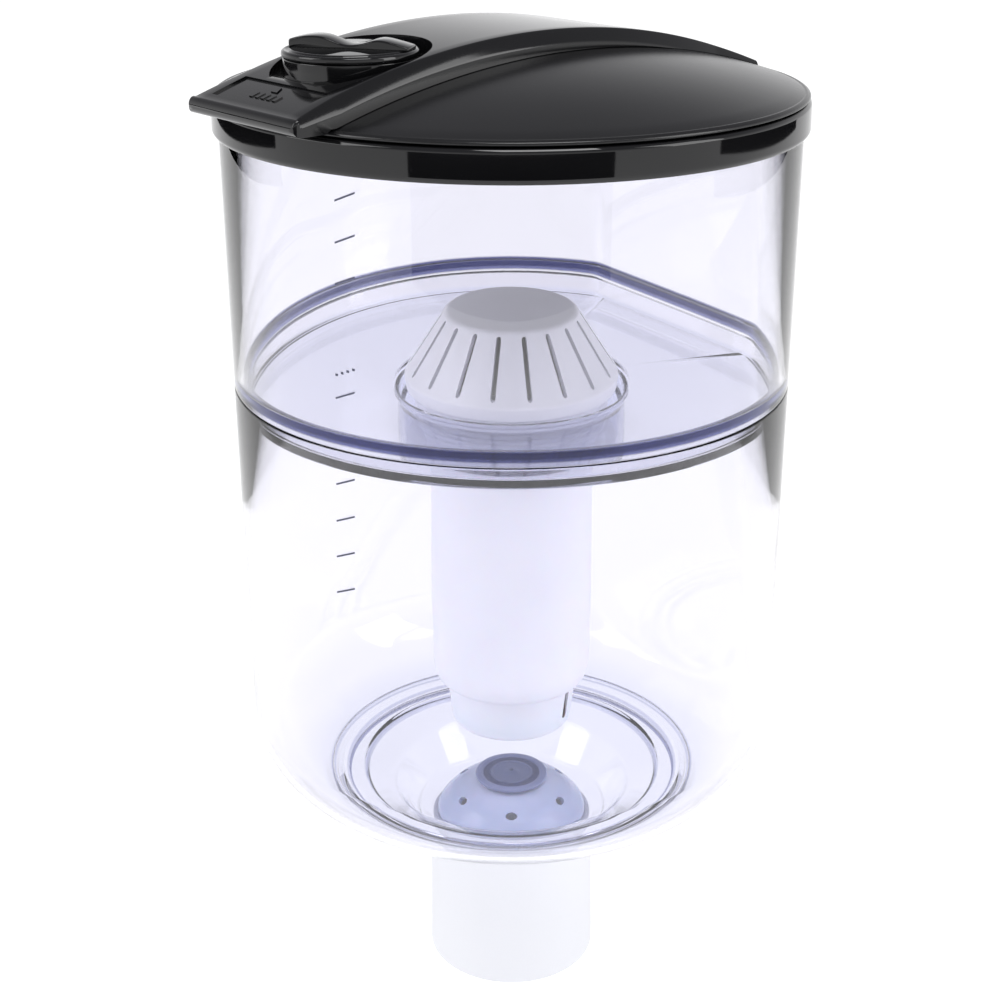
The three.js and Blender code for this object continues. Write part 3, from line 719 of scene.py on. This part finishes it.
def level_marks(name, heights, dotted_z=None):
    """A column of sloping bars, and at most one dotted bar."""
    bars = [mark("bar", z, MARK_WIDTH, MARK_HEIGHT, 0.0, MARK_SLOPE) for z in heights]
    if dotted_z:
        for along in (-1.5 * DOT_PITCH, -0.5 * DOT_PITCH, 0.5 * DOT_PITCH, 1.5 * DOT_PITCH):
            bars.append(mark("dot", dotted_z + MARK_SLOPE * along, DOT_WIDTH, DOT_HEIGHT, along))
    return joined(name, bars)


# ---------------------------------------------------------------- filter
SLOT_COUNT = 18
SLOT_HALF_W = 1.25
SLOT_TURN = math.radians(CAMERA_TURN + 10)
VENT_TURN = math.radians(18.5)
VENT_HALF_W = 2.0
HOLE_R = 3.2
HOLE_TURN = math.radians(CAMERA_TURN)


def strainer():
    """Slotted cone over the filter's well."""
    z0, r = STRAINER.z0, STRAINER.r
    edge, top = z0 + 6, STRAINER.z1
    outline = filleted([
        (r - 3.2, z0, 0.4), (r - 1, z0, 0.5), (r, edge, 1.0), (r - 1.8, edge + 2.4, 0.8),
        (33.2, top - 1.2, 2.2), (0, top, 0), (0, top - 2.4, 0), (30.5, top - 3.4, 1.5),
        (r - 4.4, edge + 1, 1.0),
    ], 5)
    cap = revolved("strainer_dome", outline, even_turns(144))
    slot = slot_cutter("slot", SLOT_HALF_W, edge + 2.6, top - 3.2, 24, r + 4)
    return carved(cap, turned_about_axis(slot, SLOT_TURN, SLOT_COUNT))


def slot_cutter(name, half, low, high, near, far):
    """A radial bar along +X with rounded ends, for cutting an upright slot."""
    outline = []
    for i in range(9):
        a = math.pi * i / 8
        outline.append((half * math.cos(a), high - half + half * math.sin(a)))
    for i in range(9):
        a = math.pi + math.pi * i / 8
        outline.append((half * math.cos(a), low + half + half * math.sin(a)))
    return lofted(name, [[(x, y, z) for y, z in outline] for x in (near, far)])


def filter_head():
    """Threaded collar that holds the cartridge in the well."""
    z0, z1, r = HEAD.z0, HEAD.z1, HEAD.r
    bore = CARTRIDGE.r - 3.4
    corners = [(bore, z0, 0.4), (r, z0, 0.8), (r, z0 + 8, 1.0), (r - 4, z0 + 12, 1.0)]
    for i in range(5):
        z = z0 + 14 + i * 2.6
        corners += [(r - 4, z, 0.3), (r - 4.9, z + 0.6, 0.3), (r - 4.9, z + 1.1, 0.3),
                    (r - 4, z + 1.7, 0.3)]
    corners += [(r - 4, z1, 0.8), (bore, z1, 0.4)]
    return revolved("filter_collar", filleted(corners, 3), even_turns(120))


def cartridge():
    """Hollow cartridge, drawn in towards its end cap."""
    top, low = HEAD.z0 - 7, CARTRIDGE.z0
    r = CARTRIDGE.r
    thread = r - 4
    outline = filleted([
        (thread, CARTRIDGE.z1, 0.6), (thread, top, 0.4), (r, top, 1.2), (r - 0.2, top - 4, 0.4),
        (r - 0.7, top - 4.8, 0.4), (r - 2.4, low + 9, 6), (r - 4, low + 2.4, 3.5), (r - 8.4, low, 3),
        (END_CAP.r - 3, low, 0.3), (END_CAP.r - 3, low + 2.2, 0.3), (r - 7.4, low + 2.2, 2),
        (r - 4.6, low + 7, 2), (thread - 2.2, top - 4, 0.5), (thread - 2.2, CARTRIDGE.z1, 0.6),
    ], 6)
    return revolved("cartridge_shell", outline, even_turns(120))


def end_cap():
    """Cartridge's lower cup, with two upright vents."""
    z0, z1, r = END_CAP.z0, END_CAP.z1, END_CAP.r
    outline = filleted([
        (0, z0, 0), (r - 3, z0, 3.2), (r, z1, 0.4), (r - 2.2, z1, 0.4), (r - 2.6, z0 + 4, 2),
        (r - 5, z0 + 2.2, 1), (0, z0 + 2.2, 0),
    ], 6)
    cup = revolved("end_cap_cup", outline, even_turns(112))
    slot = slot_cutter("vent", VENT_HALF_W, z1 - 18, z1 - 1, r - 6, r + 3)
    return carved(cup, turned_about_axis(slot, VENT_TURN, 2))


# ---------------------------------------------------------------- outlet
def outlet_dome():
    """Perforated cover over the outlet."""
    z0, z1, r = OUTLET.z0, OUTLET.z1, OUTLET.r
    outline = filleted([
        (NECK_IN + 1, z0, 0.3), (r, z0, 0.5), (r - 1.2, z0 + 3.6, 2), (r - 9, z0 + 12.4, 7),
        (15, z1, 5), (4.6, z1, 0.3), (4.6, z1 - 2, 0.3), (14, z1 - 2, 4),
        (r - 10.6, z0 + 10.2, 6), (r - 3.4, z0 + 1.6, 1), (NECK_IN + 1, z0 + 1.6, 0.3),
    ], 6)
    dome = revolved("outlet_cover", outline, even_turns(120))
    round_hole = circle(HOLE_R, 24, 0, z0 + 11 - 29.5)
    hole = lofted("hole", [[(x, y, z + x) for y, z in round_hole] for x in (21.5, 38)])
    return carved(dome, turned_about_axis(hole, HOLE_TURN, 6))


def valve_cap():
    """Round button with a raised rim and a small middle."""
    z0, z1, r = VALVE.z0, VALVE.z1, VALVE.r
    outline = filleted([
        (0, z0, 0), (r - 1.5, z0, 0.8), (r, z0 + 1, 0.6), (r - 0.5, z0 + 2.5, 0.8),
        (r - 3.4, z0 + 3, 0.8), (r - 4.4, z0 + 2.0, 0.8), (12, z0 + 2.1, 0.4), (11.4, z0 + 2.6, 0.3),
        (10.6, z0 + 2.6, 0.3), (10, z0 + 2.1, 0.4), (4.4, z0 + 2.2, 1), (2, z1 - 0.3, 1), (0, z1, 0),
    ], 5)
    return revolved("valve_button", outline, even_turns(96))


def spout():
    """White sleeve that goes into the cooler."""
    z1, r = SPOUT.z1, SPOUT.r
    outline = filleted([
        (r - 2.4, 0, 0.5), (r, 0, 1.4), (r - 1.5, z1 - 0.2, 1.2), (NECK_OUT + 0.6, z1 - 0.2, 0.4),
        (NECK_OUT + 0.6, LOWER.z0 - 2, 0.6), (r - 3.9, LOWER.z0 - 8, 3),
    ], 5)
    return revolved("spout_sleeve", outline, even_turns(144))


# ---------------------------------------------------------------- lid
SKIRT_T = 2.4                             # ring's skirt
LIP_Z = DOME.z0 + 3
DOME_EDGE_Z = LIP_Z + 3
DOME_EDGE_R = RING.r - 4
DOME_RISE = DOME.z1 - DOME_EDGE_Z
DOME_ARC = (DOME_EDGE_R ** 2 + DOME_RISE ** 2) / (2 * DOME_RISE)
ARCH_PEAK_Y = -14.0
TAB_RISE = 7.7                            # tab's end over the dome's lip
ARCH_DROP = BRIDGE.z1 - LIP_Z - TAB_RISE
ARCH_RUN = ARCH_PEAK_Y - BRIDGE.y0
ARCH_R = (ARCH_RUN ** 2 + ARCH_DROP ** 2) / (2 * ARCH_DROP)
TAB_SEAT_Z = DOME_EDGE_Z + 0.3
TAB_LOW_Z = TAB_SEAT_Z - 1.8              # underside of the tab
TAB_NOSE = 3.2                            # round front edge of the tab
SLOPE_W, SLOPE_H = 4.0, 6.0               # slope along the bridge's long top edges
SLOPE_SOFTNESS = 0.7
FILLER_HOLE_R = PLUG.r + 3.7              # in the dome
FILLER_NECK_R = PLUG.r + 3.4
FILLER_NECK_Z = BRIDGE.z1 - 7.6           # rim of the filler neck
RECESS_R = PLUG.r + 9.4                   # round hollow that the neck stands in
RECESS_Z = BRIDGE.z1 - 15.6
BELOW_LID_Z = LIP_Z - 20                  # cutters reach down to here
ABOVE_LID_Z = BRIDGE.z1 + 20              # and up to here
ROUND_CUT = 96                            # sides of the round cutters


def dome_z(r, lift=0.0):
    """Height of the dome at a radius, or of the surface that far above it."""
    return DOME.z1 - DOME_ARC + math.sqrt((DOME_ARC + lift) ** 2 - min(r, DOME_EDGE_R) ** 2)


def arch_z(y):
    """Height of the bridge's top along the lid."""
    return BRIDGE.z1 - ARCH_R + math.sqrt(ARCH_R ** 2 - (y - ARCH_PEAK_Y) ** 2)


def lid_ring():
    """Skirted ring that grips the upper tank's rim."""
    z0, z1, r = RING.z0, RING.z1, RING.r
    skirt = r - SKIRT_T
    inner = r - 17
    outline = filleted([
        (skirt, z0, 0.4), (r - 1.0, z0, 0.8), (r, z0 + 1.6, 1.2), (r - 0.3, z1 - 1.6, 0.8),
        (r - 1.6, z1 - 0.2, 0.8), (r - 4, z1 - 0.2, 0.3), (inner, z1 - 0.2, 0.3),
        (inner, z1 - 3, 0.3), (skirt, z1 - 3, 0.5),
    ], 6)
    return revolved("lid_rim", outline, even_turns(240))


def lid_dome():
    """Domed cover with a stepped edge and the filler's hole."""
    r = RING.r
    spigot = r - 17.6
    arc = [(DOME_EDGE_R * (1 - i / 40), dome_z(DOME_EDGE_R * (1 - i / 40))) for i in range(1, 40)]
    under = [(spigot - 2.6) * i / 20 for i in range(1, 20)]
    outline = filleted([
        (spigot - 2.6, LIP_Z - 3, 0.3), (spigot, LIP_Z - 3, 0.3), (spigot, LIP_Z, 0.3),
        (r - 2.2, LIP_Z, 0.5), (r - 0.9, LIP_Z + 0.7, 0.6), (r - 1.2, LIP_Z + 1.7, 0.5),
        (r - 2.6, DOME_EDGE_Z - 0.4, 0.9), (DOME_EDGE_R + 0.6, DOME_EDGE_Z - 0.3, 0.9),
    ], 5)
    outline += arc + [(0, DOME.z1), (0, DOME.z1 - 2.6)] + [(u, dome_z(u) - 2.7) for u in under]
    dome = revolved("lid_cover", outline, even_turns(240))
    hole = prism("hole", circle(FILLER_HOLE_R, 64, 0, PLUG.mid_y), BELOW_LID_Z, DOME.z1 + 5)
    return carved(dome, hole)


def seat_z(x, y):
    """Height of the bridge's underside: over the dome, or level where it stands out as a tab."""
    r = math.hypot(x, y)
    if r > RING.r - 0.7:
        return TAB_LOW_Z
    return dome_z(r, 0.3)


def bridge_slice(y, half, top, cut, low=None):
    """One slice across the bridge, its two top corners sloped off."""
    w, h = SLOPE_W * cut, SLOPE_H * cut
    run = math.hypot(w, h)
    down = min(SLOPE_SOFTNESS, 0.4 * run)
    bends = [((half, top - h - down), (half, top - h), (half - down * w / run, top - h + down * h / run)),
             ((half - w + down * w / run, top - down * h / run), (half - w, top), (half - w - down, top))]
    side = []
    for a, bend, b in bends:
        for k in range(4):
            t = k / 3
            side.append(tuple(a[n] * (1 - t) ** 2 + 2 * bend[n] * t * (1 - t) + b[n] * t * t for n in (0, 1)))
    reach = half - w - down
    row = side + [(reach * (1 - 2 * i / 12), top) for i in range(1, 12)]
    row += [(-x, z) for x, z in reversed(side)]
    under = [-half + 2 * half * i / 24 for i in range(25)]
    beneath = [(x, y, seat_z(x, y) if low is None else low) for x in under]
    return [(x, y, z) for x, z in row] + beneath


def bridge():
    """Arch across the lid: a rounded tab, the arch itself, the filler's recess and its neck."""
    front, back, half = BRIDGE.y0, BRIDGE.y1, BRIDGE.x1
    low = TAB_LOW_Z
    first = front + TAB_NOSE
    crown = arch_z(first)
    mid, tall = (crown + low) / 2, (crown - low) / 2
    slices = []
    for i in range(1, 9):
        a = math.pi / 2 * i / 9
        y = front + TAB_NOSE * (1 - math.cos(a))
        grow = math.sin(a)
        inset = TAB_NOSE * 0.5 * (1 - grow)
        slices.append(bridge_slice(y, half - inset, mid + tall * grow, 0.2 * grow, mid - tall * grow))
    steps = 110
    for i in range(steps + 1):
        y = first + (back - first) * i / steps
        cut = min(1.0, (arch_z(y) - low) / 14)
        slices.append(bridge_slice(y, half, arch_z(y), cut))
    body = lofted("lid_arch", slices)
    carved(body, panel_cutter())
    recess = circle(RECESS_R, ROUND_CUT, 0, PLUG.mid_y)
    bore = circle(FILLER_NECK_R, ROUND_CUT, 0, PLUG.mid_y)
    carved(body, prism("recess", recess, RECESS_Z, ABOVE_LID_Z))
    carved(body, prism("bore", bore, BELOW_LID_Z, ABOVE_LID_Z))
    return joined("lid_arch_body", [body, neck()] + tab_signs())


def panel_cutter():
    """A shallow pocket in the tab's top that follows the arch."""
    y0, y1, half = BRIDGE.y0 + 7, PLUG.mid_y - PLUG.r - 8, 31.0
    slices = []
    for i in range(13):
        y = y0 + (y1 - y0) * i / 12
        low = arch_z(y) - 0.9
        slices.append([(-half, y, low), (half, y, low), (half, y, low + 20), (-half, y, low + 20)])
    return lofted("panel", slices)


def tab_signs():
    """Plain raised marks on the tab: a pointer and a row of ribs."""
    y = BRIDGE.y0 + 12
    shapes = [[(-2.2, y + 6.2), (2.2, y + 6.2), (0, y + 10.4)]]
    for i in range(5):
        x = (i - 2) * 4.2
        shapes.append([(x - 1.1, y), (x + 1.1, y), (x + 1.1, y + 4.2), (x - 1.1, y + 4.2)])

    def low(_, py):
        return arch_z(py) - 1.4

    def high(_, py):
        return arch_z(py) - 0.35

    return [prism("sign", outline, low, high) for outline in shapes]


def neck():
    """Filler neck: an upright cup with a chamfered foot."""
    r, foot, top = FILLER_NECK_R, RING.z1 - 3, FILLER_NECK_Z
    outline = filleted([
        (r - 3, foot, 0.3), (r - 0.3, foot, 0.3), (r - 0.3, RECESS_Z - 0.2, 0.4),
        (r - 0.2, BRIDGE.z1 - 12.4, 0.6), (r, top, 0.5), (r - 3, top, 0.4),
    ], 4)
    return revolved("neck", outline, even_turns(144), PLUG.mid_y)


# ---------------------------------------------------------------- dial
GRIP_TURN = math.radians(-55)
GRIP_HALF_W = 6.2
DIAL_Z = BRIDGE.z1 - 7.3                  # underside of the dial's plate
SHAFT_R = 6.0


def spline(knots, steps):
    """A smooth curve through (x, y) knots."""
    curve = []
    for i in range(len(knots) - 1):
        p0 = Vector(knots[max(i - 1, 0)])
        p1, p2 = Vector(knots[i]), Vector(knots[i + 1])
        p3 = Vector(knots[min(i + 2, len(knots) - 1)])
        for s in range(steps):
            t = s / steps
            curve.append(tuple(0.5 * (2 * p1 + (p2 - p0) * t + (2 * p0 - 5 * p1 + 4 * p2 - p3) * t * t
                                      + (3 * p1 - p0 - 3 * p2 + p3) * t ** 3)))
    return curve + [knots[-1]]


def dial():
    """Round plate with a waved grip across it and a shaft below."""
    r, z0 = DIAL.r, DIAL_Z
    top = z0 + 3.4
    plate = revolved("plate", filleted([
        (0, z0, 0), (r - 0.6, z0, 0.5), (r, z0 + 0.8, 0.5), (r - 0.2, z0 + 2.4, 0.5),
        (r - 1.4, z0 + 3.2, 0.5), (r - 2.6, z0 + 2.6, 0.5), (r - 3.6, z0 + 2.4, 0.5),
        (r - 4.4, top, 0.6), (0, top, 0),
    ], 5), even_turns(144), PLUG.mid_y)
    shaft = revolved("shaft", filleted([
        (0, DIAL.z0, 0), (SHAFT_R, DIAL.z0, 0.4), (SHAFT_R, z0 - 0.1, 0), (0, z0 - 0.1, 0),
    ], 3), even_turns(48), PLUG.mid_y)
    wave = spline([(-r + 4, top + 3.4), (-r * 0.62, top + 4.9), (-r * 0.36, top + 4.8),
                   (-r * 0.05, top + 1.9), (r * 0.18, top + 2.0), (r * 0.46, top + 4.0),
                   (r * 0.72, top + 2.8), (r - 2.2, top + 1.2)], 5)
    outline = [(-r + 4, top - 0.8)] + wave + [(r - 2.2, top - 0.8)]
    grip = lofted("grip", [[(x, y, z) for y, z in outline] for x in (-GRIP_HALF_W, GRIP_HALF_W)])
    recalculate(grip)
    bevelled(grip, 0.9)
    c, s = math.cos(GRIP_TURN), math.sin(GRIP_TURN)
    for v in grip.data.vertices:
        x, y = v.co.x, v.co.y
        v.co.x, v.co.y = x * c - y * s, x * s + y * c + PLUG.mid_y * MM
    return joined("dial_knob", [plate, shaft, grip])


# ---------------------------------------------------------------- build
def build():
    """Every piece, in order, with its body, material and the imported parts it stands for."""
    # deeper tints of the thick well, floor and seam band; the seam band's navy is partly painted reflection
    # of the lid's shade
    thick_tints_and_painted_seam = [((UPPER.z0 - 2) * MM, (FLOOR_Z - 3.4) * MM, 0.0006, WELL_TINT),
             ((FLOOR_Z - 3.2) * MM, (FLOOR_Z + 1.5) * MM, 0.0006, FLOOR_TINT),
             ((SEAM_Z + 2.5) * MM, (LEDGE_Z + 0.4) * MM, 0.0006, SEAM_TINT_AND_PAINTED_REFLECTION)]
    low_edge = [((SHOULDER_Z - 40) * MM, (SHOULDER_Z + 10) * MM, 0.005, FLOOR_TINT)]
    tank_lower = tank_material("tank_lower", low_edge, STEP_RADII)
    tank_upper = tank_material("tank_upper", thick_tints_and_painted_seam)
    shown(lower_tank(), "base", "clear_tank", tank_lower, "lower_tank")
    shown(upper_tank(), "reservoir", "clear_tank", tank_upper, "upper_tank")
    shown(level_marks("lower_marks", LOWER_MARKS), "base", "smoke_blue", INK)
    shown(level_marks("upper_marks", UPPER_MARKS, DOTTED_MARK), "reservoir", "smoke_blue", INK)
    shown(spout(), "base", "white_plastic", WHITE_SPOUT, "spout")
    shown(outlet_dome(), "base", "smoke_blue", SMOKE_DOME, "outlet_dome")
    shown(valve_cap(), "valve", "smoke_blue", SMOKE_CAP, "valve_cap")
    shown(filter_head(), "reservoir", "white_plastic", WHITE, "filter_head")
    shown(strainer(), "strainer", "white_plastic", WHITE, "strainer_cap")
    shown(cartridge(), "cartridge", "white_plastic", FROSTED, "cartridge_body")
    shown(end_cap(), "cartridge", "white_plastic", FROSTED, "cartridge_end_cap")
    shown(lid_ring(), "lid", "black_plastic", BLACK_GLOSS, "lid_ring")
    shown(lid_dome(), "lid", "black_plastic", BLACK_SATIN, "lid_dome")
    shown(bridge(), "lid", "black_plastic", BLACK_SMOOTH, "lid_bridge")
    shown(dial(), "plug", "black_plastic", BLACK_GLOSS, "filler_dial")
    packed("valve_stem", WHITE)
    packed("filler_plug", BLACK_SMOOTH)
    packed("strainer_pad", felt())
    packed("dial_washer", steel())
    for node in ("spout_seal", "head_seal", "cartridge_seal", "lid_seal", "filler_plug_seal"):
        packed(node, RUBBER)
    media = (("mineral_bed", "mineral_grains", tone(120, 96, 70), tone(206, 190, 160), 420),
             ("resin_bed", "resin_grains", tone(150, 110, 50), tone(214, 176, 96), 700),
             ("carbon_bed", "carbon_grains", tone(12, 12, 13), tone(58, 58, 60), 520),
             ("sediment_pad", "pad_grains", tone(196, 194, 184), tone(232, 230, 222), 900))
    for node, name, dark, light, size in media:
        packed(node, grains(name, dark, light, size))


# ---------------------------------------------------------------- studio
CAMERA_DIRECTION = Vector((0.751, -0.660, 0.0))
CAMERA_DISTANCE, CAMERA_HEIGHT = 0.8329, 0.6146
CAMERA_PITCH = math.radians(22.44)
SKY_LOW, SKY_HIGH = (0.99, 0.99, 1.0, 1), (0.30, 0.30, 0.32, 1)
FLOOR_GLOW = 0.95
AIM = Vector((0, 0, 0.3))                 # lamps point here


def camera():
    data = bpy.data.cameras.new("camera")
    data.lens, data.sensor_width = 62.49, 36.0
    data.shift_x = -0.01135
    obj = linked("camera", data)
    obj.location = CAMERA_DIRECTION * CAMERA_DISTANCE + Vector((0, 0, CAMERA_HEIGHT))
    ahead = -CAMERA_DIRECTION * math.cos(CAMERA_PITCH) - Vector((0, 0, math.sin(CAMERA_PITCH)))
    obj.rotation_mode = "QUATERNION"
    obj.rotation_quaternion = ahead.to_track_quat("-Z", "Y")
    bpy.context.scene.camera = obj


def around(azimuth, distance, height):
    """A place seen from the axis at an azimuth from the camera's side, turning to its right."""
    a = math.atan2(CAMERA_DIRECTION.y, CAMERA_DIRECTION.x) + math.radians(azimuth)
    return Vector((distance * math.cos(a), distance * math.sin(a), height))


def lamp(name, place, width, height, power):
    """A soft rectangular lamp that the camera doesn't see."""
    data = bpy.data.lights.new(name, "AREA")
    data.shape, data.size, data.size_y, data.energy = "RECTANGLE", width, height, power
    obj = linked(name, data)
    obj.location = place
    obj.rotation_mode = "QUATERNION"
    obj.rotation_quaternion = (AIM - place).to_track_quat("-Z", "Y")
    obj.visible_camera = False


def world():
    """White near the horizon and grey overhead."""
    sky = bpy.data.worlds.new("studio")
    bpy.context.scene.world = sky
    s = Sheet("studio", sky)
    z = s.node("ShaderNodeSeparateXYZ", (s.node("ShaderNodeTexCoord", out="Generated"),), out=2)
    fade = s.rise(z, 0.02, 0.62)
    glow = s.node("ShaderNodeBackground", {"Color": s.blend(fade, SKY_LOW, SKY_HIGH), "Strength": 1.0})
    s.finish(glow, "ShaderNodeOutputWorld")


def sheet(name, corners):
    """A single face through four places, in metres."""
    mesh = bpy.data.meshes.new(name)
    mesh.from_pydata(corners, [], [(0, 1, 2, 3)])
    return linked(name, mesh)


def floor():
    """A pale floor that glows softly."""
    half = 40.0
    obj = sheet("floor", [(-half, -half, 0), (half, -half, 0), (half, half, 0), (-half, half, 0)])
    s = Sheet("pale_floor")
    soft = s.noise(3.0, 2.0)
    colour = s.blend(soft, (0.30, 0.30, 0.305, 1), (0.32, 0.32, 0.325, 1))
    obj.data.materials.append(s.finish(s.principled(
        Base_Color=colour, Roughness=0.9, Specular_IOR_Level=0.1,
        Emission_Color=(1.0, 1.0, 1.0, 1), Emission_Strength=FLOOR_GLOW)))


def flag(name, azimuth, distance, width, low, high):
    """A black card that only reflections see."""
    centre = around(azimuth, distance, 0)
    side = Vector((-centre.y, centre.x, 0)).normalized() * width / 2
    corners = [centre - side, centre + side, centre + side, centre - side]
    heights = (low, low, high, high)
    obj = sheet(name, [(c.x, c.y, h) for c, h in zip(corners, heights)])
    s = Sheet(name)
    weave = s.noise(200.0, 2.0)
    obj.data.materials.append(s.finish(s.principled(
        Base_Color=s.blend(weave, (0.001, 0.001, 0.001, 1), (0.003, 0.003, 0.003, 1)),
        Roughness=0.95, Specular_IOR_Level=0.0)))
    obj.visible_camera = False
    obj.visible_transmission = False
    obj.visible_diffuse = False
    obj.visible_shadow = False


def studio():
    bpy.context.scene.view_settings.view_transform = "Standard"
    world()
    floor()
    flag("flag_front", 0, 1.5, 2.2, 0.001, 0.36)
    flag("flag_left", -119, 1.8, 1.7, 0.17, 0.32)
    flag("flag_right", 105, 1.8, 1.7, 0.17, 0.32)
    lamp("soft_left", around(-75, 1.9, 1.5), 1.1, 1.6, 18)
    lamp("soft_right", around(70, 1.9, 1.3), 0.9, 1.6, 15)
    lamp("soft_top", around(20, 0.9, 2.6), 1.2, 0.9, 22)


build()
camera()
studio()
